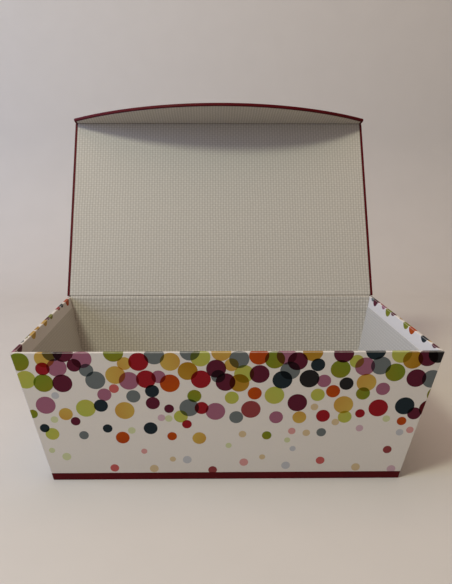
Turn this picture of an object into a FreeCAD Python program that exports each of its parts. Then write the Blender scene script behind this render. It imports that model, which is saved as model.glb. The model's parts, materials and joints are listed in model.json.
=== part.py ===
import FreeCAD, Part
import itertools
import os
import re

import Sketcher

# A flip-top keepsake box with a magnetic flap: a flared tray of grey board wrapped in printed paper, on a
# wrapped base, with a wrapped lid hinged at the back rim and a curved flap folded down from its free edge.
# Millimetres and degrees. The origin is the middle of the underside, -Y is the front and +Z is up.

SIZES = {
    # The tray, measured over its printed paper.
    "rim_width": 300.0,
    "rim_depth": 183.0,
    "foot_width": 258.0,
    "foot_depth": 151.5,
    "box_height": 104,
    "base_height": 6,
    # Sheet thicknesses.
    "board_gauge": 2.0,
    "paper_gauge": 0.25,
    "lining_gauge": 0.25,
    "stay_gauge": 0.15,
    # Tray papers: corner tape, and what shows and what is covered of the printed paper's turned edges.
    "stay_leg": 15.0,
    "bare_turn_in": 10.0,
    "lining_lap": 5.0,
    "foot_turn_in": 15.0,
    "base_turn_in": 18.0,
    "hinge_band_drop": 13.0,
    "hinge_strip_drop": 25.0,
    "hinge_strip_inset": 1.0,
    # The lid and its hinge.
    "lid_overhang": 1.0,
    "lid_border": 2.6,
    "lid_turn_in": 15.0,
    "open_angle": 114.5,
    "hinge_clearance": 0.35,
    "cover_setback": 0.3,
    "crease_setback": 0.4,
    "board_setback": 1.0,
    # The flap, from its fold: short straight ends and an arc between them.
    "flap_end_length": 7.5,
    "flap_length": 50.8,
    "flap_border": 2.6,
    "flap_turn_in": 8.0,
    "closing_gap": 2.4,
    # Magnets in the flap, and the steel discs in the front wall that they meet.
    "magnet_diameter": 14.0,
    "magnet_backing": 0.5,
    "magnet_spacing": 70.0,
    "magnet_margin": 17.0,
    "plate_diameter": 14.0,
    "plate_backing": 1.0,
    "disc_clearance": 0.2,
    # How far a cutting shape passes the face that it opens.
    "overrun": 1.0,
}

# Slopes of the flared walls, and the level run of a sheet for each millimetre of its thickness.
SIDE_SLOPE = "((rim_width - foot_width) / 2 / box_height)"
FRONT_SLOPE = "((rim_depth - foot_depth) / 2 / box_height)"
SIDE_RUN = f"sqrt(1 + {SIDE_SLOPE}^2)"
FRONT_RUN = f"sqrt(1 + {FRONT_SLOPE}^2)"

# Levels of the tray, from its underside to its rim.
TRAY_FOOT = "base_height"
BOARD_FOOT = "(base_height + paper_gauge)"
FLOOR_TOP = f"({BOARD_FOOT} + board_gauge)"
FLOOR_FACE = f"({FLOOR_TOP} + lining_gauge)"
LINING_TOP = "(box_height - bare_turn_in)"
TURN_IN_FOOT = f"({LINING_TOP} - lining_lap)"
BAND_FOOT = "(box_height - hinge_band_drop)"
BOARD_TOP = "(box_height - paper_gauge)"
RIM = "box_height"

# Depths through a wall, square to it, from the outer face of its printed paper.
OUTSIDE = "0"
WRAP_BACK = "paper_gauge"
BOARD_FACE = "(paper_gauge + stay_gauge)"
BOARD_BACK = f"({BOARD_FACE} + board_gauge)"
TURN_IN_FACE = f"({BOARD_BACK} + paper_gauge)"
LINING_FACE = f"({TURN_IN_FACE} + lining_gauge)"

# Heights through the lid and the flap, from the face of their lining to the outside.
COVER_TURN_IN = "lining_gauge"
LID_BOARD_IN = "(lining_gauge + paper_gauge)"
LID_BOARD_OUT = f"({LID_BOARD_IN} + board_gauge)"
LID_GAUGE = f"({LID_BOARD_OUT} + paper_gauge)"

# The hinge lies on the outer edge of the back rim, and the flap's fold just past the front rim.
LID_HALF = "(rim_width / 2 + lid_overhang)"
HINGE_RISE = "(lining_gauge + hinge_clearance)"
HINGE_Y = "(rim_depth / 2)"
HINGE_Z = f"(box_height + {HINGE_RISE})"
LID_LENGTH = f"(rim_depth + closing_gap * {FRONT_RUN} + {HINGE_RISE} * {FRONT_SLOPE})"
FOLD_Y = f"({HINGE_Y} - {LID_LENGTH} * cos(open_angle * 1deg))"
FOLD_Z = f"({HINGE_Z} + {LID_LENGTH} * sin(open_angle * 1deg))"
LID_ANGLE = "(-open_angle * 1deg)"
FOLD_ANGLE = f"(90deg + atan({FRONT_SLOPE}))"
FLAP_ANGLE = f"({LID_ANGLE} + {FOLD_ANGLE})"
COVER_ANGLE = f"asin(cover_setback / {LID_GAUGE})"
STRIP_CLEAR = f"(2 * paper_gauge + {HINGE_RISE} * {FRONT_SLOPE} / {FRONT_RUN})"
STRIP_ANGLE = f"(asin({STRIP_CLEAR} / {LID_BOARD_OUT}) - atan({FRONT_SLOPE}))"

# The flap's curved edge is one arc over the width of the lid.
ARC_RISE = "(flap_length - flap_end_length)"
ARC_RADIUS = f"(({LID_HALF}^2 + {ARC_RISE}^2) / (2 * {ARC_RISE}))"

# How far down the flap its magnets lie, and how far down the front wall the steel discs that they then meet.
MAGNET_DROP = "(flap_length - magnet_margin)"
FOLD_LIFT = f"((({LID_LENGTH} - rim_depth) * {FRONT_SLOPE} + {HINGE_RISE}) / {FRONT_RUN})"
PLATE_DROP = f"({MAGNET_DROP} - {FOLD_LIFT})"

X_AXIS = FreeCAD.Vector(1, 0, 0)
UPRIGHT = "90deg"
LONG_WALLS = ("front", "back")
WALLS = ("front", "back", "left", "right")

doc = FreeCAD.newDocument("keepsake_box")
sheet = doc.addObject("Spreadsheet::Sheet", "Sizes")
for row, (alias, number) in enumerate(SIZES.items(), start=1):
    sheet.set(f"A{row}", alias)
    sheet.set(f"B{row}", str(number))
    sheet.setAlias(f"B{row}", alias)
doc.recompute()


def expression(text):
    """The text with each size's name pointed at its cell."""
    return re.sub(r"[a-z_]+", lambda word: f"Sizes.{word[0]}" if word[0] in SIZES else word[0], text)


def value(text):
    """What an expression of sizes comes to, as a plain number."""
    found = sheet.evalExpression(expression(text))
    return float(getattr(found, "Value", found))


def bind(thing, **sizes):
    """Tie properties of an object to expressions of sizes."""
    for name, text in sizes.items():
        thing.setExpression(name, expression(text))


def place(thing, angle, y="0", z="0"):
    """Turn an object about X and move it, both tied to sizes."""
    thing.Placement = FreeCAD.Placement(FreeCAD.Vector(), FreeCAD.Rotation(X_AXIS, value(angle)))
    thing.setExpression("Placement.Rotation.Angle", expression(angle))
    thing.setExpression("Placement.Base.y", expression(y))
    thing.setExpression("Placement.Base.z", expression(z))


def half_width(level, depth):
    """Half the tray's width at a level, at some depth into its side walls."""
    return f"(foot_width / 2 + {SIDE_SLOPE} * ({level}) - {SIDE_RUN} * ({depth}))"


def half_depth(level, depth):
    """Half the tray's depth at a level, at some depth into its front and back walls."""
    return f"(foot_depth / 2 + {FRONT_SLOPE} * ({level}) - {FRONT_RUN} * ({depth}))"


def wedge(name, low, high, footprint):
    """A solid between two levels, with a rectangle at each: its x0, x1, y0 and y1 from the footprint."""
    solid = doc.addObject("Part::Wedge", name)
    lower, upper = footprint(low), footprint(high)
    bind(solid, Ymin=low, Ymax=high)
    bind(solid, Xmin=lower[0], Xmax=lower[1], Zmin=f"-({lower[3]})", Zmax=f"-({lower[2]})")
    bind(solid, X2min=upper[0], X2max=upper[1], Z2min=f"-({upper[3]})", Z2max=f"-({upper[2]})")
    place(solid, UPRIGHT)
    return solid


def slab(name, wall, outer, inner, ends, low, high):
    """A sheet of one wall between two depths and two levels, its ends at a depth into the walls beside it."""
    lengthwise = wall in LONG_WALLS
    through, along = (half_depth, half_width) if lengthwise else (half_width, half_depth)
    negative = wall in ("front", "left")

    def footprint(level):
        near, far = through(level, inner), through(level, outer)
        thickness = (f"-{far}", f"-{near}") if negative else (near, far)
        length = (f"-{along(level, ends)}", along(level, ends))
        return (*length, *thickness) if lengthwise else (*thickness, *length)

    return wedge(name, low, high, footprint)


def tray_layer(name, depth, low, high):
    """A level sheet that fills the tray out to a depth into its walls."""

    def footprint(level):
        x, y = half_width(level, depth), half_depth(level, depth)
        return f"-{x}", x, f"-{y}", y

    return wedge(name, low, high, footprint)


def lid_block(name, half_across, setback, low, high):
    """A flat piece of the lid, its ends set back alike from the hinge and from the flap's fold."""
    outline = (f"-({half_across})", half_across, f"-({LID_LENGTH} - ({setback}))", f"-({setback})")
    block = wedge(name, low, high, lambda level: outline)
    place(block, f"({UPRIGHT} + {LID_ANGLE})", HINGE_Y, HINGE_Z)
    return block


def fuse(name, pieces):
    joined = doc.addObject("Part::MultiFuse", name)
    joined.Shapes = pieces
    joined.Refine = True
    return joined


def cut(name, base, tools):
    """The base less one tool or more."""
    result = doc.addObject("Part::Cut", name)
    result.Base = base
    result.Tool = tools[0] if len(tools) == 1 else fuse(f"{name}_tools", tools)
    return result


def new_sketch(body, role, level="0"):
    """A sketch on one of a body's own origin planes, raised to a level."""
    sketch = body.newObject("Sketcher::SketchObject", f"{body.Name}_sketch")
    plane = next(part for part in body.Origin.OriginFeatures if part.Role == role)
    sketch.AttachmentSupport = (plane, "")
    sketch.MapMode = "FlatFace"
    sketch.setExpression("AttachmentOffset.Base.z", expression(level))
    return sketch


def dimension(sketch, name, text, kind, *places):
    """A named driving dimension of a sketch, tied to sizes."""
    index = sketch.addConstraint(Sketcher.Constraint(kind, *places, value(text)))
    sketch.renameConstraint(index, name)
    sketch.setExpression(f"Constraints.{name}", expression(text))


def corners_of(x, low, high):
    """The four corners of a rectangle centred on the Y axis, anticlockwise from its lower left."""
    return [FreeCAD.Vector(*corner, 0) for corner in ((-x, low), (x, low), (x, high), (-x, high))]


def pad(body, sketch, length):
    feature = body.newObject("PartDesign::Pad", f"{body.Name}_pad")
    feature.Profile = sketch
    feature.setExpression("Length", expression(length))
    return body


def in_flap(body):
    """Set a body on the flap's fold line, the flap lying along its -Y."""
    place(body, FLAP_ANGLE, FOLD_Y, FOLD_Z)
    return body


def in_front_wall(body):
    """Set a body on the front rim, the wall's outer face lying along its -Y."""
    place(body, FOLD_ANGLE, "-rim_depth / 2", RIM)
    return body


def flap_sheet(name, inset, fold_end, low, high):
    """A flat piece of the flap, inset from its cover: straight at the fold and the ends, arched between."""
    body = doc.addObject("PartDesign::Body", name)
    sketch = new_sketch(body, "XY_Plane", low)
    half, radius = f"({LID_HALF} - ({inset}))", f"({ARC_RADIUS} - ({inset}))"
    centre_rise = f"({ARC_RADIUS} - flap_length)"
    x, r, fold, rise = value(half), value(radius), value(fold_end), value(centre_rise)
    end_left, end_right, fold_right, fold_left = corners_of(x, rise - (r * r - x * x) ** 0.5, -fold)
    fold_line = sketch.addGeometry(Part.LineSegment(fold_left, fold_right))
    right_end = sketch.addGeometry(Part.LineSegment(fold_right, end_right))
    left_end = sketch.addGeometry(Part.LineSegment(end_left, fold_left))
    arc = sketch.addGeometry(Part.Arc(end_left, FreeCAD.Vector(0, rise - r, 0), end_right))
    start, finish, centre, origin, y_axis = 1, 2, 3, -1, -2
    sketch.addConstraint(Sketcher.Constraint("Coincident", fold_line, finish, right_end, start))
    sketch.addConstraint(Sketcher.Constraint("Coincident", left_end, finish, fold_line, start))
    sketch.addConstraint(Sketcher.Constraint("Coincident", right_end, finish, arc, finish))
    sketch.addConstraint(Sketcher.Constraint("Coincident", left_end, start, arc, start))
    sketch.addConstraint(Sketcher.Constraint("Vertical", right_end))
    sketch.addConstraint(Sketcher.Constraint("Vertical", left_end))
    sketch.addConstraint(Sketcher.Constraint("Symmetric", fold_line, start, fold_line, finish, y_axis))
    sketch.addConstraint(Sketcher.Constraint("PointOnObject", arc, centre, y_axis))
    dimension(sketch, "width", f"2 * {half}", "DistanceX", fold_line, start, fold_line, finish)
    dimension(sketch, "fold_end", fold_end, "DistanceY", fold_line, start, origin, 1)
    dimension(sketch, "centre_rise", centre_rise, "DistanceY", origin, 1, arc, centre)
    dimension(sketch, "radius", radius, "Radius", arc)
    return in_flap(pad(body, sketch, f"({high}) - ({low})"))


def disc_pair(name, diameter, drop, low, high):
    """Two discs side by side, some way down from the X axis of their own frame."""
    body = doc.addObject("PartDesign::Body", name)
    body.AllowCompound = True
    sketch = new_sketch(body, "XY_Plane", low)
    x, y, r = value("magnet_spacing / 2"), -value(drop), value(f"({diameter}) / 2")
    up = FreeCAD.Vector(0, 0, 1)
    for side in (-1, 1):
        sketch.addGeometry(Part.Circle(FreeCAD.Vector(side * x, y, 0), up, r))
    centre, origin, y_axis = 3, -1, -2
    sketch.addConstraint(Sketcher.Constraint("Symmetric", 0, centre, 1, centre, y_axis))
    sketch.addConstraint(Sketcher.Constraint("Equal", 0, 1))
    dimension(sketch, "spacing", "magnet_spacing", "DistanceX", 0, centre, 1, centre)
    dimension(sketch, "drop", drop, "DistanceY", 0, centre, origin, 1)
    dimension(sketch, "radius", f"({diameter}) / 2", "Radius", 0)
    return pad(body, sketch, f"({high}) - ({low})")


def spine(name, half_across, start_angle, sweep, y, z):
    """Cover paper bent round a fold: a strip of the lid's cover swept about the fold's own line."""
    body = doc.addObject("PartDesign::Body", name)
    sketch = new_sketch(body, "XZ_Plane")
    corners = corners_of(value(half_across), value(LID_BOARD_OUT), value(LID_GAUGE))
    sides = [sketch.addGeometry(Part.LineSegment(a, b)) for a, b in zip(corners, corners[1:] + corners[:1])]
    bottom, right, top, left = sides
    start, finish, origin, y_axis = 1, 2, -1, -2
    for side, following in zip(sides, sides[1:] + sides[:1]):
        sketch.addConstraint(Sketcher.Constraint("Coincident", side, finish, following, start))
    sketch.addConstraint(Sketcher.Constraint("Vertical", right))
    sketch.addConstraint(Sketcher.Constraint("Vertical", left))
    sketch.addConstraint(Sketcher.Constraint("Horizontal", top))
    sketch.addConstraint(Sketcher.Constraint("Symmetric", bottom, start, bottom, finish, y_axis))
    dimension(sketch, "width", f"2 * ({half_across})", "DistanceX", bottom, start, bottom, finish)
    dimension(sketch, "inner_radius", LID_BOARD_OUT, "DistanceY", origin, 1, bottom, start)
    dimension(sketch, "gauge", "paper_gauge", "DistanceY", right, start, right, finish)
    turned = body.newObject("PartDesign::Revolution", f"{name}_turn")
    turned.Profile = sketch
    turned.ReferenceAxis = (sketch, ["H_Axis"])
    turned.setExpression("Angle", expression(sweep))
    place(body, start_angle, y, z)
    return body


def wall_board(wall):
    ends = BOARD_FACE if wall in LONG_WALLS else BOARD_BACK
    name = "front_wall_blank" if wall == "front" else f"{wall}_wall_board"
    return slab(name, wall, BOARD_FACE, BOARD_BACK, ends, BOARD_FOOT, BOARD_TOP)


def front_wall_board():
    """The front board, with a round pocket in its outer face for each steel disc."""
    pockets = disc_pair(
        "plate_pockets",
        "plate_diameter + 2 * disc_clearance",
        PLATE_DROP,
        f"-({BOARD_BACK} - plate_backing)",
        f"overrun - {BOARD_FACE}",
    )
    return cut("front_wall_board", wall_board("front"), [in_front_wall(pockets)])


def catch_plates():
    low, high = f"-({BOARD_BACK} - plate_backing)", f"-{BOARD_FACE}"
    return in_front_wall(disc_pair("catch_plates", "plate_diameter", PLATE_DROP, low, high))


def wall_wrap(wall):
    """Printed paper of one wall: under the tray, up the outside, over the rim and down inside."""
    long_wall = wall in LONG_WALLS
    sheet_ends = OUTSIDE if long_wall else WRAP_BACK
    cap_ends = OUTSIDE if long_wall else TURN_IN_FACE
    turn_in_ends = BOARD_BACK if long_wall else TURN_IN_FACE
    foot_ends = WRAP_BACK if long_wall else "foot_turn_in"
    name = f"{wall}_wrap"
    return fuse(
        name,
        [
            slab(f"{name}_sheet", wall, OUTSIDE, WRAP_BACK, sheet_ends, TRAY_FOOT, BOARD_TOP),
            slab(f"{name}_cap", wall, OUTSIDE, TURN_IN_FACE, cap_ends, BOARD_TOP, RIM),
            slab(f"{name}_turn_in", wall, BOARD_BACK, TURN_IN_FACE, turn_in_ends, TURN_IN_FOOT, BOARD_TOP),
            slab(f"{name}_foot", wall, WRAP_BACK, "foot_turn_in", foot_ends, TRAY_FOOT, BOARD_FOOT),
        ],
    )


def wall_lining(wall):
    ends = TURN_IN_FACE if wall in LONG_WALLS else LINING_FACE
    top = BAND_FOOT if wall == "back" else LINING_TOP
    return slab(f"{wall}_lining", wall, TURN_IN_FACE, LINING_FACE, ends, FLOOR_FACE, top)


def corner_block(name, corner, depth, leg):
    """A block in one corner of the tray, from a depth into its two walls to a leg further in."""

    def footprint(level):
        spans = []
        for wall, half in zip(corner, (half_width(level, depth), half_depth(level, depth))):
            inner = f"({half} - ({leg}))"
            spans += [f"-{half}", f"-{inner}"] if wall in ("left", "front") else [inner, half]
        return spans

    return wedge(name, BOARD_FOOT, BOARD_TOP, footprint)


def corner_stays():
    """Paper tape folded round the four corners of the boards, under the printed paper."""
    stays = []
    for corner in itertools.product(("left", "right"), ("front", "back")):
        name = "_".join(corner) + "_stay"
        tape = corner_block(f"{name}_tape", corner, WRAP_BACK, "stay_leg")
        boards = corner_block(f"{name}_boards", corner, BOARD_FACE, "2 * stay_leg")
        stays.append(cut(name, tape, [boards]))
    group = doc.addObject("Part::Compound", "corner_stays")
    group.Links = stays
    return group


def hinge_lining_band():
    """The lid's lining carried on over the back rim and a little way down inside."""
    drop = slab("band_drop", "back", TURN_IN_FACE, LINING_FACE, TURN_IN_FACE, BAND_FOOT, RIM)
    x, inner, outer = half_width(RIM, TURN_IN_FACE), half_depth(RIM, LINING_FACE), half_depth(RIM, OUTSIDE)
    top = wedge("band_top", RIM, f"({RIM} + lining_gauge)", lambda level: (f"-{x}", x, inner, outer))
    return fuse("hinge_lining_band", [drop, top])


def hinge_cover_strip():
    """The lid's cover paper where it is glued down the outside of the back wall."""
    foot = "(box_height - hinge_strip_drop)"
    return slab("hinge_cover_strip", "back", "-paper_gauge", OUTSIDE, "hinge_strip_inset", foot, RIM)


def base_wrap(board):
    """Cover paper round the base board, turned in over its top edge."""
    shell = tray_layer("base_shell", OUTSIDE, "0", TRAY_FOOT)
    opening = tray_layer("base_opening", "base_turn_in", "base_height / 2", "base_height + overrun")
    return cut("base_wrap", shell, [board, opening])


def lid_wrap():
    """Cover paper over the lid board, round its side edges and turned in under its lining."""
    shell = lid_block("lid_shell", LID_HALF, "cover_setback", COVER_TURN_IN, LID_GAUGE)
    hollow_half, open_half = f"{LID_HALF} - paper_gauge", f"{LID_HALF} - lid_turn_in"
    hollow = lid_block("lid_hollow", hollow_half, "-overrun", LID_BOARD_IN, LID_BOARD_OUT)
    opening = lid_block("lid_opening", open_half, "-overrun", "-overrun", LID_BOARD_OUT)
    return cut("lid_wrap", shell, [hollow, opening])


def lid_board():
    half = f"{LID_HALF} - paper_gauge"
    return lid_block("lid_board", half, "board_setback", LID_BOARD_IN, LID_BOARD_OUT)


def lid_lining():
    half = f"{LID_HALF} - lid_border"
    return lid_block("lid_lining", half, "crease_setback", "0", COVER_TURN_IN)


def flap_wrap():
    """Cover paper over the flap board, round its curved edge and turned in under its lining."""
    fold_opening = "cover_setback / 2"
    shell = flap_sheet("flap_shell", "0", "cover_setback", COVER_TURN_IN, LID_GAUGE)
    hollow = flap_sheet("flap_hollow", "paper_gauge", fold_opening, LID_BOARD_IN, LID_BOARD_OUT)
    opening = flap_sheet("flap_opening", "flap_turn_in", fold_opening, "-overrun", LID_BOARD_OUT)
    return cut("flap_wrap", shell, [hollow, opening])


def flap_board():
    """The flap's board, with a round pocket in its inner face for each magnet."""
    blank = flap_sheet("flap_blank", "paper_gauge", "board_setback", LID_BOARD_IN, LID_BOARD_OUT)
    pockets = disc_pair(
        "magnet_pockets",
        "magnet_diameter + 2 * disc_clearance",
        MAGNET_DROP,
        "-overrun",
        f"{LID_BOARD_OUT} - magnet_backing",
    )
    return cut("flap_board", blank, [in_flap(pockets)])


def flap_magnets():
    high = f"{LID_BOARD_OUT} - magnet_backing"
    return in_flap(disc_pair("flap_magnets", "magnet_diameter", MAGNET_DROP, LID_BOARD_IN, high))


def flap_lining():
    return flap_sheet("flap_lining", "flap_border", "crease_setback", "0", COVER_TURN_IN)


def lid_spine():
    """Cover paper from the open lid's outer face down to the strip on the back wall."""
    half = half_width(RIM, "hinge_strip_inset")
    start = f"({STRIP_ANGLE} - 180deg)"
    sweep = f"({LID_ANGLE} + {COVER_ANGLE} - {start})"
    return spine("lid_spine", half, start, sweep, HINGE_Y, HINGE_Z)


def flap_spine():
    """Cover paper round the outside of the flap's fold, from the lid's cover to the flap's."""
    start = f"({LID_ANGLE} - {COVER_ANGLE})"
    sweep = f"({FOLD_ANGLE} + 2 * {COVER_ANGLE})"
    return spine("flap_spine", LID_HALF, start, sweep, FOLD_Y, FOLD_Z)


def build():
    """Every sub-part of the box, each in its own node."""
    boards = [front_wall_board()] + [wall_board(wall) for wall in WALLS if wall != "front"]
    boards.append(tray_layer("floor_board", BOARD_BACK, BOARD_FOOT, FLOOR_TOP))
    papers = [wall_wrap(wall) for wall in WALLS] + [corner_stays()]
    linings = [wall_lining(wall) for wall in WALLS]
    linings.append(tray_layer("floor_lining", TURN_IN_FACE, FLOOR_TOP, FLOOR_FACE))
    hinge = [hinge_lining_band(), hinge_cover_strip(), lid_spine()]
    base_board = tray_layer("base_board", WRAP_BACK, "paper_gauge", "base_height - paper_gauge")
    base = [base_board, base_wrap(base_board)]
    lid = [lid_board(), lid_wrap(), lid_lining()]
    flap = [flap_board(), flap_wrap(), flap_lining(), flap_magnets(), flap_spine()]
    return boards + papers + linings + hinge + base + lid + flap + [catch_plates()]


nodes = build()
doc.recompute()

for thing in doc.Objects:
    if "Invalid" in thing.State or "Error" in thing.State:
        raise RuntimeError(f"{thing.Name} did not compute: {thing.State}")
for node in nodes:
    if node.Shape.isNull() or not node.Shape.isValid() or not node.Shape.Solids:
        raise RuntimeError(f"{node.Label} has no valid solid")

os.makedirs("parts", exist_ok=True)
for node in nodes:
    node.Shape.exportStep(f"parts/{node.Label}.step")
    print(f"{node.Label}: {len(node.Shape.Solids)} solid(s), {node.Shape.Volume:.1f} mm3")
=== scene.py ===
"""The looks of a flip-top keepsake box: printed paper, woven lining and cover paper over its frame."""
import collections
import json
import math
import random

import bpy
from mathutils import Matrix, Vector
from mathutils.geometry import delaunay_2d_cdt


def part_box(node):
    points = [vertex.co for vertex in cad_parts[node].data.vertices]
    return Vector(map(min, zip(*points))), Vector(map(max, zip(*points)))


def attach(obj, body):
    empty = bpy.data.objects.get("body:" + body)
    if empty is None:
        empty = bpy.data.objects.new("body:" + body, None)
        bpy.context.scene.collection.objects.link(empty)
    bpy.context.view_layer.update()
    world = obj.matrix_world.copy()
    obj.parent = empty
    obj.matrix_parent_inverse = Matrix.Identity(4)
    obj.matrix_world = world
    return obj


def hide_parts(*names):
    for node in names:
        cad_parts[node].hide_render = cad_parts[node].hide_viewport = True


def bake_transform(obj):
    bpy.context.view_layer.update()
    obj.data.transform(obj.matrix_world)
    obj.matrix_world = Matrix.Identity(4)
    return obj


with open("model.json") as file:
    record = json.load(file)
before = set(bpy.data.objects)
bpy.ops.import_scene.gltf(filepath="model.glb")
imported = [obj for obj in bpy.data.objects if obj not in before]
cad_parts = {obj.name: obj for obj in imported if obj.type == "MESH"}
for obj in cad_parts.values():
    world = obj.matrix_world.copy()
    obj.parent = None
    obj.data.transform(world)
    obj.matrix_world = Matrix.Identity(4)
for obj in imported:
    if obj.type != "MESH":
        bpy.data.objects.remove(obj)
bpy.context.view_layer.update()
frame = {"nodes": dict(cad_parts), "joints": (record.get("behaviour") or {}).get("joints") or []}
MM = 0.001
X, Y, Z = Vector((1, 0, 0)), Vector((0, 1, 0)), Vector((0, 0, 1))
scene = bpy.context.scene
scene.view_settings.view_transform = "Standard"


# Camera: the photograph's frame in pixels, and the view that its edges give.
PICTURE_WIDTH, PICTURE_HEIGHT = 452, 584
FOCAL_PIXELS = 597.2
CENTRE_PIXEL_X = 210.2
SENSOR_WIDTH = 36
CAMERA_PLACE = Vector((-17.3, -484.9, 228.6)) * MM
CAMERA_PITCH, CAMERA_YAW = 0.2061, 0.0124

lens = bpy.data.cameras.new("camera")
lens.sensor_width = SENSOR_WIDTH
lens.lens = lens.sensor_width * FOCAL_PIXELS / PICTURE_HEIGHT
lens.shift_x = (PICTURE_WIDTH / 2 - CENTRE_PIXEL_X) / PICTURE_HEIGHT
camera = bpy.data.objects.new("camera", lens)
camera.location = CAMERA_PLACE
camera.rotation_euler = (math.pi / 2 - CAMERA_PITCH, 0, -CAMERA_YAW)
scene.collection.objects.link(camera)
scene.camera = camera


# Sizes read from the frame.
def reach(node, origin, direction):
    """How far a node's points lie from an origin along a direction, least and most."""
    spans = [(vertex.co - origin).dot(direction) for vertex in frame["nodes"][node].data.vertices]
    return min(spans), max(spans)


joints = {joint["name"]: joint for joint in frame["joints"]}
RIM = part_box("front_wrap")[1].z
BASE_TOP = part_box("front_wrap")[0].z
RIM_HALF = {"x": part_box("front_wrap")[1].x, "y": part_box("back_wrap")[1].y}
FOOT_HALF = {"x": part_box("base_wrap")[1].x, "y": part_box("base_wrap")[1].y}
SLOPE = {axis: (RIM_HALF[axis] - FOOT_HALF[axis]) / (RIM - BASE_TOP) for axis in "xy"}
RUN = {axis: math.hypot(1, SLOPE[axis]) for axis in "xy"}
WALL_GAUGE = (RIM_HALF["x"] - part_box("hinge_lining_band")[1].x) / RUN["x"]
LINING_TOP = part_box("left_lining")[1].z

HINGE = Vector(joints["lid_hinge"]["pos_m"])
FOLD = Vector(joints["flap_hinge"]["pos_m"])
FOLD_ANGLE = -math.radians(joints["flap_hinge"]["range_deg"][0])
LID_ALONG = (FOLD - HINGE).normalized()
LID_LENGTH = (FOLD - HINGE).length
turn = math.atan2(LID_ALONG.z, LID_ALONG.y) + FOLD_ANGLE
FLAP_ALONG = Vector((0, math.cos(turn), math.sin(turn)))


def outward(along):
    """The way a panel of the lid faces outside, from the way it runs."""
    return Vector((0, along.z, -along.y))


LID_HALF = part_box("lid_wrap")[1].x
LID_GAUGE = reach("lid_wrap", HINGE, outward(LID_ALONG))[1]
LINING_GAUGE = reach("lid_lining", HINGE, outward(LID_ALONG))[1]
PAPER_GAUGE = LID_GAUGE - reach("lid_board", HINGE, outward(LID_ALONG))[1]
COVER_SETBACK = reach("lid_wrap", HINGE, LID_ALONG)[0]
CREASE_SETBACK = reach("lid_lining", HINGE, LID_ALONG)[0]
FLAP_LENGTH = reach("flap_wrap", FOLD, FLAP_ALONG)[1]
FLAP_END = max(
    (vertex.co - FOLD).dot(FLAP_ALONG)
    for vertex in frame["nodes"]["flap_wrap"].data.vertices
    if abs(vertex.co.x) > LID_HALF - PAPER_GAUGE / 2
)


# Node helpers.
def node(tree, kind, inputs=(), **properties):
    """A shader node, its inputs set or linked by name or by place."""
    made = tree.nodes.new(kind)
    for name, setting in properties.items():
        setattr(made, name, setting)
    for key, setting in inputs.items() if isinstance(inputs, dict) else enumerate(inputs):
        if isinstance(setting, bpy.types.NodeSocket):
            tree.links.new(setting, made.inputs[key])
        else:
            made.inputs[key].default_value = setting
    return made


def sums(tree, operation, *terms):
    """One step of arithmetic on values."""
    return node(tree, "ShaderNodeMath", terms, operation=operation).outputs[0]


def mix(tree, share, low, high, blend_type="MIX"):
    """One colour turning to another by a share."""
    made = node(tree, "ShaderNodeMix", data_type="RGBA", blend_type=blend_type)
    for name, setting in (("Factor_Float", share), ("A_Color", low), ("B_Color", high)):
        socket = next(item for item in made.inputs if item.identifier == name)
        if isinstance(setting, bpy.types.NodeSocket):
            tree.links.new(setting, socket)
        else:
            socket.default_value = setting
    return next(item for item in made.outputs if item.identifier == "Result_Color")


def spread(tree, value, low, high):
    """A value from 0 to 1 taken to a range."""
    return node(tree, "ShaderNodeMapRange", {"Value": value, "To Min": low, "To Max": high}).outputs[0]


def noise(tree, place, scale, detail=2.0):
    """Soft noise from 0 to 1, so many marks to a metre."""
    inputs = {"Vector": place, "Scale": scale, "Detail": detail}
    return node(tree, "ShaderNodeTexNoise", inputs).outputs[0]


def place_of(tree):
    """Where a point lies on its own object."""
    return node(tree, "ShaderNodeTexCoord").outputs["Object"]


def along_way(tree, place, way):
    """How far a place lies along a way, in units of it."""
    return node(tree, "ShaderNodeVectorMath", (place, way), operation="DOT_PRODUCT").outputs["Value"]


def wave(tree, place, pace):
    """A cosine of a place at a pace."""
    return sums(tree, "COSINE", sums(tree, "MULTIPLY", place, pace))


def bump(tree, height, distance, strength):
    """A normal that shows a relief."""
    inputs = {"Height": height, "Distance": distance, "Strength": strength}
    return node(tree, "ShaderNodeBump", inputs).outputs[0]


def linear(red, green, blue):
    """A colour as a screen shows it, 0 to 255, as Blender's linear light."""
    shares = (channel / 255 for channel in (red, green, blue))
    return tuple(s / 12.92 if s <= 0.04045 else ((s + 0.055) / 1.055) ** 2.4 for s in shares)


def opaque(red, green, blue):
    """Such a colour as a socket takes it."""
    return (*linear(red, green, blue), 1)


def material(name, colour, roughness, normal, **settings):
    """A material from a colour, a roughness and a normal made by its build function."""
    made = bpy.data.materials.new(name)
    made.use_nodes = True
    tree = made.node_tree
    shader = next(item for item in tree.nodes if item.type == "BSDF_PRINCIPLED")
    for socket, build in (("Base Color", colour), ("Roughness", roughness), ("Normal", normal)):
        tree.links.new(build(tree), shader.inputs[socket])
    for socket, setting in settings.items():
        shader.inputs[socket.replace("_", " ")].default_value = setting
    return made


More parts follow.
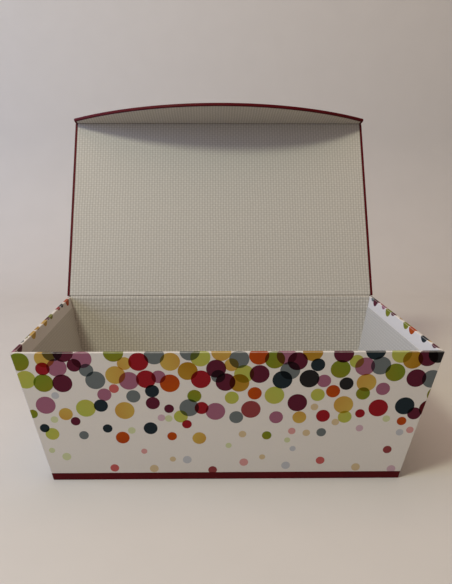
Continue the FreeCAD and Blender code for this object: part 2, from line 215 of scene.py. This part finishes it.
# Materials: colours as a screen shows them.
PAPER_WHITE = opaque(207, 201, 194)
LINING_THREAD, LINING_GAP = opaque(193, 188, 178), opaque(160, 154, 144)
BACK_THREAD, BACK_GAP = opaque(199, 194, 184), opaque(152, 146, 136)
SIDE_THREAD, SIDE_GAP = opaque(187, 182, 172), opaque(168, 162, 152)
# Painted shade: darker lining colours for the hinge's and the fold's creases, standing in for the shade that
# falls there.
HINGE_SHADE_THREAD, HINGE_SHADE_GAP = opaque(158, 151, 141), opaque(128, 121, 111)
FOLD_SHADE_THREAD, FOLD_SHADE_GAP = opaque(128, 121, 112), opaque(98, 91, 83)
COVER_RED, COVER_DEEP, COVER_WORN = opaque(88, 14, 21), opaque(70, 10, 16), opaque(104, 34, 40)
BOARD_GREY, BOARD_FLECK = opaque(150, 143, 132), opaque(112, 106, 98)
STEEL_PALE, STEEL_DEEP = (0.42, 0.42, 0.43, 1), (0.3, 0.3, 0.31, 1)
MAGNET_PALE, MAGNET_DEEP = (0.5, 0.49, 0.47, 1), (0.4, 0.39, 0.37, 1)

# Grain: threads by their width, other marks by their number to a length, and reliefs by their depth.
PER_MM = 1 / MM
THREAD_ACROSS, THREAD_ALONG = 2.72 * MM, 2.37 * MM
TWILL = 0.7 * PER_MM
PAPER_FIBRE, PAPER_TOOTH, PAPER_RUB = 0.9 * PER_MM, 1.6 * PER_MM, 0.35 * PER_MM
PAPER_SHEEN, PAPER_RIPPLE = 0.06 * PER_MM, 0.02 * PER_MM
WEAVE_DRIFT, WEAVE_SLUB = 0.03 * PER_MM, 0.5 * PER_MM
COVER_TONE, COVER_RUB, COVER_SHEEN = 0.08 * PER_MM, 0.3 * PER_MM, 0.1 * PER_MM
COVER_RIB, COVER_TOOTH = 0.4 * PER_MM, 1.2 * PER_MM
BOARD_GRAIN, TAPE_GRAIN = 0.8 * PER_MM, 0.6 * PER_MM
STEEL_GRAIN, MAGNET_GRAIN = 0.5 * PER_MM, 0.7 * PER_MM
FLOOR_GRAIN = 0.02 * PER_MM
PAPER_RELIEF, WEAVE_RELIEF, COVER_RELIEF, FLECK_RELIEF = 0.02 * MM, 0.12 * MM, 0.05 * MM, 0.03 * MM
FINE_DETAIL, MIDDLE_DETAIL = 6.0, 4.0

# How much each part of the grain tells, and how each stuff takes the light.
FIBRE_SHARE, RIPPLE_SHARE, PAPER_WEAR_SHARE, COVER_WEAR_SHARE = 0.1, 8.0, 0.7, 0.3
WARP_SHARE, WEFT_SHARE, OVER_SHARE, MID_SHARE = 0.26, 0.2, 0.12, 0.5
DRIFT_SHARE, SLUB_SHARE = 0.35, 0.18
RIB_SHARES = 0.1, 0.5
PAPER_BUMP, WEAVE_BUMP, COVER_BUMP, FLECK_BUMP = 0.5, 0.6, 0.5, 0.4
PAPER_GLOSS, WEAVE_GLOSS, COVER_GLOSS = 0.05, 0.15, 0.08
PAPER_ROUGHNESS, WEAVE_ROUGHNESS, COVER_ROUGHNESS = (0.42, 0.58), (0.62, 0.5), (0.42, 0.58)
FLECK_ROUGHNESS_SPAN = 0.12


def wear_on(tree, place, scale, share):
    """How far a mesh's folds are rubbed, patchily."""
    wear = node(tree, "ShaderNodeAttribute", attribute_name="wear").outputs["Fac"]
    return sums(tree, "MULTIPLY", wear, spread(tree, noise(tree, place, scale), 0.0, share))


def printed_paper():
    """White paper with a confetti print held by the mesh, a little fibre, and rubbed folds."""

    def colour(tree):
        place = place_of(tree)
        ink = node(tree, "ShaderNodeVertexColor", layer_name="print").outputs[0]
        fibre = spread(tree, noise(tree, place, PAPER_FIBRE, FINE_DETAIL), 0.0, FIBRE_SHARE)
        paper = mix(tree, fibre, PAPER_WHITE, BOARD_GREY)
        inked = mix(tree, 1.0, paper, ink, "MULTIPLY")
        return mix(tree, wear_on(tree, place, PAPER_RUB, PAPER_WEAR_SHARE), inked, PAPER_WHITE)

    def roughness(tree):
        return spread(tree, noise(tree, place_of(tree), PAPER_SHEEN), *PAPER_ROUGHNESS)

    def normal(tree):
        place = place_of(tree)
        tooth = noise(tree, place, PAPER_TOOTH, MIDDLE_DETAIL)
        ripple = sums(tree, "MULTIPLY", noise(tree, place, PAPER_RIPPLE), RIPPLE_SHARE)
        return bump(tree, sums(tree, "ADD", tooth, ripple), PAPER_RELIEF, PAPER_BUMP)

    return material("printed_paper", colour, roughness, normal, Specular_IOR_Level=PAPER_GLOSS)


def woven_lining(name, across, along, thread=LINING_THREAD, gap=LINING_GAP):
    """Woven-look paper: threads by a panel's own two directions, with dark gaps between."""

    def threads(tree):
        place = place_of(tree)
        drift = spread(tree, noise(tree, place, WEAVE_DRIFT), -DRIFT_SHARE, DRIFT_SHARE)
        ways = Vector(across) / THREAD_ACROSS, Vector(along) / THREAD_ALONG
        return place, *(sums(tree, "ADD", drift, along_way(tree, place, way)) for way in ways)

    def height(tree):
        place, warps, wefts = threads(tree)
        warp, weft = wave(tree, warps, math.tau), wave(tree, wefts, math.tau)
        over = sums(tree, "MULTIPLY", wave(tree, warps, math.pi), wave(tree, wefts, math.pi))
        raised = spread(tree, noise(tree, place, WEAVE_SLUB), MID_SHARE - SLUB_SHARE, MID_SHARE + SLUB_SHARE)
        for part, share in ((warp, WARP_SHARE), (weft, WEFT_SHARE), (over, OVER_SHARE)):
            raised = sums(tree, "ADD", raised, sums(tree, "MULTIPLY", part, share))
        return raised

    def colour(tree):
        share = node(tree, "ShaderNodeClamp", (height(tree),)).outputs[0]
        return mix(tree, share, gap, thread)

    def roughness(tree):
        return spread(tree, height(tree), *WEAVE_ROUGHNESS)

    def normal(tree):
        return bump(tree, height(tree), WEAVE_RELIEF, WEAVE_BUMP)

    return material(f"woven_lining_{name}", colour, roughness, normal, Specular_IOR_Level=WEAVE_GLOSS)


def cover_paper():
    """Burgundy cover paper with a fine twill grain, deeper in the grain and worn along the folds."""

    def grain(tree):
        place = place_of(tree)
        twill = along_way(tree, place, (X + Y + Z) * TWILL)
        ribs = wave(tree, sums(tree, "ADD", twill, noise(tree, place, COVER_RIB)), math.tau)
        tooth = noise(tree, place, COVER_TOOTH, MIDDLE_DETAIL)
        return sums(tree, "ADD", spread(tree, ribs, *RIB_SHARES), tooth)

    def colour(tree):
        place = place_of(tree)
        tone = mix(tree, noise(tree, place, COVER_TONE, MIDDLE_DETAIL), COVER_DEEP, COVER_RED)
        return mix(tree, wear_on(tree, place, COVER_RUB, COVER_WEAR_SHARE), tone, COVER_WORN)

    def roughness(tree):
        return spread(tree, noise(tree, place_of(tree), COVER_SHEEN), *COVER_ROUGHNESS)

    def normal(tree):
        return bump(tree, grain(tree), COVER_RELIEF, COVER_BUMP)

    return material("cover_paper", colour, roughness, normal, Specular_IOR_Level=COVER_GLOSS)


def flecked(name, base, fleck, grain, rough, **settings):
    """A plain stuff with flecks, for the boards and other hidden pieces."""

    def colour(tree):
        return mix(tree, noise(tree, place_of(tree), grain, FINE_DETAIL), base, fleck)

    def roughness(tree):
        return spread(tree, noise(tree, place_of(tree), grain), rough, rough + FLECK_ROUGHNESS_SPAN)

    def normal(tree):
        return bump(tree, noise(tree, place_of(tree), grain, MIDDLE_DETAIL), FLECK_RELIEF, FLECK_BUMP)

    return material(name, colour, roughness, normal, **settings)


printed = printed_paper()
cover = cover_paper()
board = flecked("grey_board", BOARD_GREY, BOARD_FLECK, BOARD_GRAIN, rough=0.8)
tape = flecked("stay_tape", PAPER_WHITE, BOARD_GREY, TAPE_GRAIN, rough=0.6)
steel = flecked("steel", STEEL_PALE, STEEL_DEEP, STEEL_GRAIN, rough=0.35, Metallic=1.0)
magnet = flecked("magnet", MAGNET_PALE, MAGNET_DEEP, MAGNET_GRAIN, rough=0.25, Metallic=1.0)
woven = {
    "front": woven_lining("front", X, Z * RUN["y"]),
    "back": woven_lining("back", X, Z * RUN["y"], BACK_THREAD, BACK_GAP),
    "side": woven_lining("side", Y, Z * RUN["x"], SIDE_THREAD, SIDE_GAP),
    "floor": woven_lining("floor", X, Y),
    "band": woven_lining("band", X, Z - Y, BACK_THREAD, BACK_GAP),
    "lid": woven_lining("lid", X, LID_ALONG),
    "flap": woven_lining("flap", X, FLAP_ALONG),
    "hinge_crease_shade": woven_lining("hinge_crease_shade", X, LID_ALONG, HINGE_SHADE_THREAD, HINGE_SHADE_GAP),
    "flap_crease_shade": woven_lining("flap_crease_shade", X, LID_ALONG, FOLD_SHADE_THREAD, FOLD_SHADE_GAP),
}
FINISHES = {
    "front_lining": woven["front"],
    "back_lining": woven["back"],
    "left_lining": woven["side"],
    "right_lining": woven["side"],
    "floor_lining": woven["floor"],
    "hinge_lining_band": woven["band"],
    "lid_lining": woven["lid"],
    "flap_lining": woven["flap"],
    "hinge_cover_strip": cover,
    "corner_stays": tape,
    "catch_plates": steel,
    "flap_magnets": magnet,
}
for name, thing in frame["nodes"].items():
    finish = FINISHES.get(name, board)
    thing.data.materials.clear()
    thing.data.materials.append(finish)


# Pieces made here.
SMOOTH_BELOW = math.radians(50)
FOLD_STEPS = 4


def piece(name, points, faces, finish, slot, stands_for, wear=None):
    """A mesh of paper in place of a node of the frame."""
    mesh = bpy.data.meshes.new(name)
    mesh.from_pydata(points, [], faces)
    mesh.validate()
    mesh.shade_smooth()
    mesh.set_sharp_from_angle(angle=SMOOTH_BELOW)
    if wear:
        mesh.attributes.new("wear", "FLOAT", "POINT").data.foreach_set("value", wear)
    mesh.materials.append(finish)
    made = bpy.data.objects.new(name, mesh)
    scene.collection.objects.link(made)
    if stands_for:
        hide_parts(stands_for)
    return made


def thicken(made):
    """Give a sheet its paper's thickness, behind the face that shows."""
    solid = made.modifiers.new("paper", "SOLIDIFY")
    solid.thickness = PAPER_GAUGE
    solid.offset = -1
    made.modifiers.new("shading", "WEIGHTED_NORMAL").keep_sharp = True


def rounded(corners, radius):
    """A path through corners, each inner one rounded: its points, and which of them are mid-bend."""
    path, bends = [Vector(corners[0])], [0.0]
    for before, corner, after in zip(corners, corners[1:], corners[2:]):
        corner = Vector(corner)
        back, on = (Vector(before) - corner).normalized(), (Vector(after) - corner).normalized()
        half_angle = back.angle(on) / 2
        centre = corner + (back + on).normalized() * radius / math.sin(half_angle)
        start = corner + back * radius / math.tan(half_angle) - centre
        end = corner + on * radius / math.tan(half_angle) - centre
        for step in range(FOLD_STEPS + 1):
            share = step / FOLD_STEPS
            path.append(centre + start.slerp(end, share) * radius)
            bends.append(math.sin(math.pi * share))
    return path + [Vector(corners[-1])], bends + [0.0]


def loft(loops, closed=False):
    """Points and quads between loops of like count."""
    count = len(loops[0])
    points = [point for loop in loops for point in loop]
    faces = []
    for row in range(len(loops) - 1):
        for column in range(count if closed else count - 1):
            following = (column + 1) % count
            low, high = row * count, (row + 1) * count
            faces.append((low + column, low + following, high + following, high + column))
    return points, faces


# The printed paper: confetti laid out by a seeded draw and cut into the sheet's own mesh.
# A band of dots has its top and foot in millimetres below the rim, and a number to each run of wall.
Band = collections.namedtuple("Band", "diameter top foot number inks")
Dot = collections.namedtuple("Dot", "x y radius ink second lean")
INKS = {
    "black": linear(44, 44, 47),
    "navy": linear(40, 54, 63),
    "maroon": linear(102, 37, 60),
    "dark_red": linear(96, 22, 32),
    "crimson": linear(166, 34, 46),
    "orange": linear(200, 88, 18),
    "ochre": linear(184, 136, 32),
    "yellow": linear(222, 192, 96),
    "lime": linear(194, 208, 98),
    "green": linear(130, 152, 46),
    "grey": linear(121, 132, 137),
    "mauve": linear(175, 115, 144),
    "rose": linear(160, 76, 80),
    "salmon": linear(216, 112, 112),
    "pale_tan": linear(233, 214, 176),
    "pale_green": linear(226, 238, 193),
    "pale_grey": linear(212, 219, 232),
    "pale_mauve": linear(226, 196, 216),
    "pale_pink": linear(236, 176, 178),
}
SECOND_INKS = {
    "orange": "crimson",
    "yellow": "orange",
    "ochre": "yellow",
    "green": "ochre",
    "lime": "yellow",
}
SECOND_SHARE = 0.25
BOLD = (
    "navy maroon crimson orange yellow lime green grey mauve "
    "ochre maroon yellow lime grey mauve maroon black green"
).split()
BRIGHT = "dark_red crimson yellow green grey mauve rose lime lime navy yellow maroon".split()
MIDDLE = "yellow lime navy crimson green mauve lime grey maroon orange".split()
SMALL = "crimson navy orange green mauve maroon salmon grey".split()
PALE = "pale_tan pale_green pale_grey pale_mauve pale_pink pale_tan pale_green".split()
FAINT = "pale_pink pale_grey salmon pale_mauve pale_green grey pale_tan rose".split()
CONFETTI = (
    Band(14, -1, 7, 8.0, BOLD),
    Band(14, 8, 24, 8.5, BOLD),
    Band(10, 6, 26, 3.5, BOLD),
    Band(14, 24, 47, 4.8, BRIGHT),
    Band(10, 26, 54, 7.0, MIDDLE),
    Band(10, 54, 70, 1.8, MIDDLE),
    Band(7, 26, 68, 4.5, SMALL),
    Band(5.5, 30, 66, 5.0, PALE),
    Band(6.5, 66, 97, 4.0, FAINT),
    Band(4.5, 62, 97, 2.5, PALE),
)
NUMBER_RUN = 100
TRIES = 7
OVERLAP_SHARE = 0.9
DOT_SIDES = 40


def confetti(half_length, seed):
    """Dots over one wall, in millimetres from the middle of its rim, each thrown clear of the last ones."""
    draw = random.Random(seed)
    dots = []
    for band in CONFETTI:
        radius = band.diameter / 2
        deck = []
        for _ in range(round(band.number * 2 * half_length / NUMBER_RUN)):
            best, best_room = None, -math.inf
            for _ in range(TRIES):
                x, y = draw.uniform(-half_length, half_length), draw.uniform(band.top, band.foot)
                room = min(
                    (math.hypot(x - d.x, y - d.y) - OVERLAP_SHARE * (radius + d.radius) for d in dots),
                    default=0,
                )
                if room > best_room:
                    best, best_room = (x, y), room
            if not deck:
                deck = draw.sample(band.inks, len(band.inks))
            nearest = min(dots, key=lambda d: math.hypot(best[0] - d.x, best[1] - d.y), default=None)
            ink = next((ink for ink in deck if nearest is None or ink != nearest.ink), deck[0])
            deck.remove(ink)
            second = SECOND_INKS.get(ink, ink)
            dots.append(Dot(*best, radius, ink, second, draw.uniform(0, math.tau)))
    return dots


def ink_at(dot, x, y):
    """A dot's ink at a place: it leans towards its second ink on one side."""
    lean = ((x - dot.x) * math.cos(dot.lean) + (y - dot.y) * math.sin(dot.lean)) / dot.radius
    share = SECOND_SHARE * (lean + 1) / 2
    return Vector(INKS[dot.ink]).lerp(Vector(INKS[dot.second]), share)


RIM_RADIUS, CORNER_RADIUS = 0.55 * MM, 0.5 * MM
HIDDEN_LAP = 3 * MM
CORNER_STEPS = 3
WALLS = {"front": -Y, "back": Y, "left": -X, "right": X}
SEEDS = {"front": 4, "back": 5, "left": 6, "right": 7}
Row = collections.namedtuple("Row", "flat depth drop end radius bend")


class Sheet:
    """A wall's paper laid flat: rows across it from the wall's foot, over the rim, to the turned-in edge."""

    def __init__(self, wall):
        facing = WALLS[wall]
        through, self.axis = ("y", "x") if facing.x == 0 else ("x", "y")
        lean = math.atan(SLOPE[through])
        self.into = -facing * math.cos(lean) + Z * math.sin(lean)
        self.down = -facing * math.sin(lean) - Z * math.cos(lean)
        self.along = Z.cross(facing)
        self.edge = facing * RIM_HALF[through] + Z * RIM
        inner = WALL_GAUGE * math.tan(lean)
        foot = (RIM - BASE_TOP) / math.cos(lean)
        turned = inner + (RIM - LINING_TOP + HIDDEN_LAP) / math.cos(lean)
        path, bends = rounded([(0, foot), (0, 0), (WALL_GAUGE, inner), (WALL_GAUGE, turned)], RIM_RADIUS)
        lengths = [(point - before).length for before, point in zip(path, path[1:])]
        at_rim = sum(lengths[: 1 + FOLD_STEPS // 2])
        self.rows = []
        for index, (depth, drop) in enumerate(path):
            flat = (at_rim - sum(lengths[:index])) / MM
            fall = drop * math.cos(lean) - depth * math.sin(lean)
            end = RIM_HALF[self.axis] - SLOPE[self.axis] * fall - RUN[self.axis] * depth
            radius = CORNER_RADIUS * (1 - depth / WALL_GAUGE)
            self.rows.append(Row(flat, depth, drop, end, radius, bends[index]))

    def row_at(self, flat):
        """The row at a flat height, between the two that hold it."""
        for above, below in zip(self.rows[1:], self.rows):
            if flat >= above.flat:
                share = (below.flat - flat) / (below.flat - above.flat)
                return Row(*(low + (high - low) * share for low, high in zip(below, above)))
        return self.rows[-1]

    def folded(self, x, flat):
        """Where a place of the flat sheet comes to on the box, and how sharply it bends there."""
        row = self.row_at(flat)
        reached, over, bend = abs(x) * MM, 0.0, row.bend
        straight = row.end - row.radius
        if row.radius > 0 and reached > straight:
            angle = (reached - straight) / row.radius
            reached = straight + row.radius * math.sin(angle)
            over = row.radius * (1 - math.cos(angle))
            bend = max(bend, math.sin(2 * angle))
        across = self.along * math.copysign(reached, x)
        return self.edge + across + self.into * (row.depth + over) + self.down * row.drop, bend

    def grid(self):
        """Flat points along the rows, closer round the corners, with the lines between them."""
        angles = [step / CORNER_STEPS * math.pi / 4 for step in range(CORNER_STEPS + 1)]
        points, lines = [], []
        for row in self.rows:
            ends = [(row.end - row.radius + row.radius * angle) / MM for angle in angles]
            points += [Vector((x, row.flat)) for x in [-end for end in reversed(ends)] + ends]
        across = 2 * len(angles)
        for index in range(len(points)):
            if (index + 1) % across:
                lines.append((index, index + 1))
            if index + across < len(points):
                lines.append((index, index + across))
        left = list(range(0, len(points), across))
        right = [index + across - 1 for index in left]
        return points, lines, left + right[::-1]


CUT_TOLERANCE = 1e-5


def wall_paper(wall):
    """One wall's printed paper: up the outside, over the rim and down inside, mitred at the corners."""
    sheet = Sheet(wall)
    points, lines, outline = sheet.grid()
    dots = confetti(RIM_HALF[sheet.axis] / MM, SEEDS[wall])
    faces = [outline]
    for dot in dots:
        faces.append(range(len(points), len(points) + DOT_SIDES))
        for side in range(DOT_SIDES):
            angle = math.tau * side / DOT_SIDES
            points.append(Vector((dot.x, dot.y)) + dot.radius * Vector((math.cos(angle), math.sin(angle))))
    flat, _, cut, _, _, sources = delaunay_2d_cdt(points, lines, faces, 0, CUT_TOLERANCE, True)
    kept = [(face[::-1], held) for face, held in zip(cut, sources) if 0 in held]
    used = sorted({corner for face, _ in kept for corner in face})
    order = {corner: index for index, corner in enumerate(used)}
    places = [sheet.folded(*flat[corner]) for corner in used]
    made = piece(
        f"{wall}_printed_paper",
        [place for place, _ in places],
        [[order[corner] for corner in face] for face, _ in kept],
        printed,
        "printed_paper",
        f"{wall}_wrap",
        [bend for _, bend in places],
    )
    inked = []
    for face, held in kept:
        for corner in face:
            colour = Vector((1, 1, 1))
            for source in held:
                if source:
                    colour *= ink_at(dots[source - 1], *flat[corner])
            inked += [*colour, 1.0]
    made.data.color_attributes.new("print", "FLOAT_COLOR", "CORNER").data.foreach_set("color", inked)
    thicken(made)
    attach(made, "tray")


for wall in WALLS:
    wall_paper(wall)


# The lid's lining where it comes over the back rim and laps a little way down the back wall.
BAND_RADIUS = 1.2 * MM
BAND_LIFT, BAND_LAP = 0.28 * MM, 0.1 * MM


def hinge_band():
    """A band of lining from the hinge over the rim, its foot standing a little off the wall."""
    low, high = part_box("hinge_lining_band")
    rim_y = low.y + SLOPE["y"] * (high.z - low.z)
    corners = [(high.y, high.z), (rim_y, high.z), (low.y - BAND_LIFT, low.z - BAND_LAP)]
    section, _ = rounded(corners, BAND_RADIUS)
    halves = [high.x - SLOPE["x"] * (high.z - z) for _, z in section]
    loops = []
    for side in (-1, 1):
        loops.append([Vector((side * half, y, z)) for half, (y, z) in zip(halves, section)])
    made = piece("hinge_band_paper", *loft(loops), woven["band"], "woven_lining", "hinge_lining_band")
    thicken(made)
    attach(made, "tray")


hinge_band()


# Cover paper of the lid, the flap and the base, rounded over the edges of their boards.
COVER_RADIUS = 0.4 * MM
LID_TURN_IN, FLAP_TURN_IN, BASE_TURN_IN = 12 * MM, 7 * MM, 6 * MM
ARC_STEPS = 48


def panel_point(origin, along, across, run, height):
    """A place on the lid or the flap: across its width, along it from its hinge, and out through it."""
    return origin + X * across + along * run + outward(along) * height


def cover_piece(name, points, faces, wear, inside, stands_for):
    """A sheet of cover paper, its faces turned away from a point inside."""
    outwards = 0.0
    for face in faces:
        a, b, c = (points[index] for index in face[:3])
        outwards += (b - a).cross(c - a).dot(a - inside)
    if outwards < 0:
        faces = [face[::-1] for face in faces]
    made = piece(name, points, faces, cover, "cover_paper", stands_for, wear)
    thicken(made)
    return made


def lid_cover():
    """The lid's cover paper, turned in over both side edges."""
    half, turned = LID_HALF, LID_HALF - LID_TURN_IN
    corners = [(turned, LINING_GAUGE), (half, LINING_GAUGE), (half, LID_GAUGE)]
    section, bends = rounded(corners + [(-x, height) for x, height in reversed(corners)], COVER_RADIUS)
    runs = COVER_SETBACK, LID_LENGTH - COVER_SETBACK
    points, faces = loft([[panel_point(HINGE, LID_ALONG, x, run, h) for x, h in section] for run in runs])
    inside = panel_point(HINGE, LID_ALONG, 0, LID_LENGTH / 2, LID_GAUGE / 2)
    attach(cover_piece("lid_cover", points, faces, bends * len(runs), inside, "lid_wrap"), "lid")


def flap_outline(inset):
    """The flap's edge at an inset, from the fold's right end round its arc to the fold's left end."""
    rise = FLAP_LENGTH - FLAP_END
    radius = (LID_HALF**2 + rise**2) / (2 * rise)
    half = LID_HALF - inset
    arc = []
    for step in range(ARC_STEPS + 1):
        x = half * (1 - 2 * step / ARC_STEPS)
        arc.append((x, FLAP_LENGTH - radius + math.sqrt((radius - inset) ** 2 - x**2)))
    return [(half, COVER_SETBACK), *arc, (-half, COVER_SETBACK)]


def flap_cover():
    """The flap's cover paper, turned in round its arc and its ends."""
    corners = [(FLAP_TURN_IN, LINING_GAUGE), (0, LINING_GAUGE), (0, LID_GAUGE), (FLAP_TURN_IN, LID_GAUGE)]
    section, bends = rounded(corners, COVER_RADIUS)
    loops = [
        [panel_point(FOLD, FLAP_ALONG, x, run, height) for x, run in flap_outline(inset)]
        for inset, height in section
    ]
    points, faces = loft(loops)
    count = len(loops[0])
    faces.append(tuple(range(len(points) - count, len(points))))
    wear = [bend for bend in bends for _ in range(count)]
    inside = panel_point(FOLD, FLAP_ALONG, 0, FLAP_LENGTH / 2, LID_GAUGE / 2)
    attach(cover_piece("flap_cover", points, faces, wear, inside, "flap_wrap"), "flap")


def base_cover():
    """The base's cover paper, under it and up over its sides."""
    base_half = {axis: FOOT_HALF[axis] - SLOPE[axis] * BASE_TOP for axis in "xy"}
    corners = [(BASE_TURN_IN, BASE_TOP), (0, BASE_TOP), (0, 0), (BASE_TURN_IN, 0)]
    section, bends = rounded(corners, COVER_RADIUS)
    loops = []
    for inset, level in section:
        x, y = (base_half[axis] + SLOPE[axis] * level - inset for axis in "xy")
        ring = [(x, -y), (x, y), (-x, y), (-x, -y)]
        path = []
        for before, corner, after in zip(ring[-1:] + ring, ring, ring[1:] + ring[:1]):
            path += rounded([before, corner, after], COVER_RADIUS)[0][1:-1]
        loops.append([Vector((*point, level)) for point in path])
    points, faces = loft(loops, closed=True)
    count = len(loops[0])
    faces.append(tuple(range(len(points) - count, len(points))))
    wear = [bend for bend in bends for _ in range(count)]
    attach(cover_piece("base_cover", points, faces, wear, Z * BASE_TOP / 2, "base_wrap"), "tray")


lid_cover()
flap_cover()
base_cover()


# Paper that bends at the lid's hinge and at the flap's fold: cover outside, lining in the crease.
BEND_STEPS = 24
CREASE_SHARE = 0.95
CREASE_RADIUS = CREASE_SHARE * CREASE_SETBACK


def bend_angle(direction):
    """A direction square to X as an angle about X, with up as nought."""
    return math.atan2(-direction.y, direction.z)


def bent_strip(centre, radius, start, end, half_across):
    """Points and faces of a strip bent about a line along X."""
    loops = []
    for step in range(BEND_STEPS + 1):
        angle = start + (end - start) * step / BEND_STEPS
        radial = Vector((0, -math.sin(angle), math.cos(angle)))
        loops.append([centre + X * x + radial * radius for x in (-half_across, half_across)])
    return loft(loops), loops[0][0].lerp(loops[0][1], 0.5), loops[-1][0].lerp(loops[-1][1], 0.5)


def spine(name, node_name, centre):
    """The cover paper round a fold, where the frame has it."""
    spokes = [vertex.co - centre for vertex in frame["nodes"][node_name].data.vertices]
    angles = [bend_angle(spoke) for spoke in spokes]
    half_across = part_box(node_name)[1].x
    sheet, start, end = bent_strip(centre, LID_GAUGE, min(angles), max(angles), half_across)
    wear = [0.0] * len(sheet[0])
    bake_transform(cover_piece(name, *sheet, wear, centre, node_name))


def crease(name, centre, start, end, half_across):
    """The lining's own paper pressed into a fold, coloured darker as painted shade in the crease."""
    (points, faces), first, last = bent_strip(centre, CREASE_RADIUS, start, end, half_across)
    made = piece(name, points, faces, woven[name], "woven_lining", None)
    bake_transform(made)


spine("lid_spine_cover", "lid_spine", HINGE)
spine("flap_spine_cover", "flap_spine", FOLD)
LINING_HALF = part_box("lid_lining")[1].x
BAND_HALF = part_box("hinge_lining_band")[1].x
# Both crease strips take darker lining colours: painted shade in the hinge and in the fold.
crease("hinge_crease_shade", HINGE, -math.pi, bend_angle(LID_ALONG), BAND_HALF)
lid_back = bend_angle(-LID_ALONG) - math.tau
crease("flap_crease_shade", FOLD, lid_back, bend_angle(FLAP_ALONG), LINING_HALF)


# Floor, backdrop and lights.
STAGE_HALF, STAGE_FRONT, STAGE_BACK, STAGE_TOP, COVE_RADIUS = 3.0, -2.5, 0.55, 2.2, 0.3
COVE_STEPS = 24
STAGE_PALE, STAGE_SOFT = opaque(199, 194, 188), opaque(194, 189, 183)


def stage():
    """A pale floor that sweeps up into a backdrop."""
    profile = [(STAGE_FRONT, 0.0)]
    for step in range(COVE_STEPS + 1):
        angle = math.pi / 2 * step / COVE_STEPS
        profile.append((STAGE_BACK + COVE_RADIUS * math.sin(angle), COVE_RADIUS * (1 - math.cos(angle))))
    profile.append((STAGE_BACK + COVE_RADIUS, STAGE_TOP))
    points, faces = loft([[Vector((x, y, z)) for x in (-STAGE_HALF, STAGE_HALF)] for y, z in profile])
    mesh = bpy.data.meshes.new("floor")
    mesh.from_pydata(points, [], [face[::-1] for face in faces])
    mesh.shade_smooth()
    mesh.materials.append(flecked("floor_paper", STAGE_PALE, STAGE_SOFT, FLOOR_GRAIN, rough=0.7))
    floor = bpy.data.objects.new("floor", mesh)
    scene.collection.objects.link(floor)


Lamp = collections.namedtuple("Lamp", "name place target size power colour")
LAMPS = (
    Lamp("key", (-0.68, -0.78, 1.355), (0, 0.12, 0.287), 0.28, 12.3, (0.97, 1.0, 0.81)),
    Lamp("window", (-1.5, -0.35, 0.6), (0, 0.05, 0.12), 1.0, 17.4, (0.44, 0.59, 1.0)),
    Lamp("overhead", (0, 0, 1.7), (0, 0.05, 0), 1.6, 9.8, (1.0, 0.77, 0.65)),
)
SKY_COLOUR, SKY_STRENGTH = (1.0, 0.81, 0.66, 1), 0.272


def light_up(lamp):
    """A square lamp at its place, turned to its target."""
    light = bpy.data.lights.new(lamp.name, "AREA")
    light.size, light.energy, light.color = lamp.size, lamp.power, lamp.colour
    made = bpy.data.objects.new(lamp.name, light)
    made.location = lamp.place
    aim = Vector(lamp.target) - Vector(lamp.place)
    made.rotation_euler = aim.to_track_quat("-Z", "Y").to_euler()
    scene.collection.objects.link(made)


stage()
for lamp in LAMPS:
    light_up(lamp)
world = bpy.data.worlds.new("studio")
world.use_nodes = True
sky = world.node_tree.nodes["Background"]
sky.inputs["Color"].default_value = SKY_COLOUR
sky.inputs["Strength"].default_value = SKY_STRENGTH
scene.world = world
